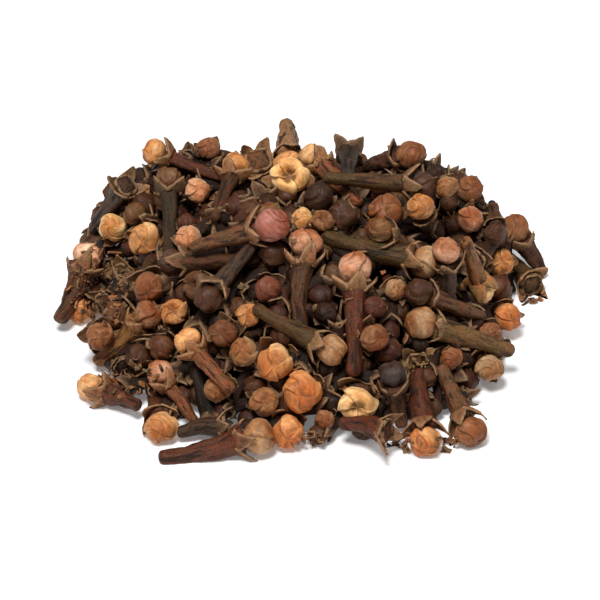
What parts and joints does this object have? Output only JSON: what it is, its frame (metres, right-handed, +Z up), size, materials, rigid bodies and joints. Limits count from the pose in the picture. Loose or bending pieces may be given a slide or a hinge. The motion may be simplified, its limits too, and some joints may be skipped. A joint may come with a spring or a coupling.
{
  "type": "heap of whole dried cloves",
  "caption": "Loose low heap of whole dried cloves lying on a flat surface, with balls, pointed sepals and stems sticking out all round.",
  "frame": {"origin": "on the surface the heap lies on, under the middle of its foot", "axes": "+Z up from the surface, +Y from the viewer's side to the far side, +X to the viewer's right"},
  "size_m": [0.0649, 0.0662, 0.0228],
  "materials": {
    "dried_clove": "matte and finely wrinkled, the balls of petals lighter and more orange than the stems"
  },
  "bodies": {
    "root": {"clove_heap": "dried_clove"}
  },
  "joints": []
}
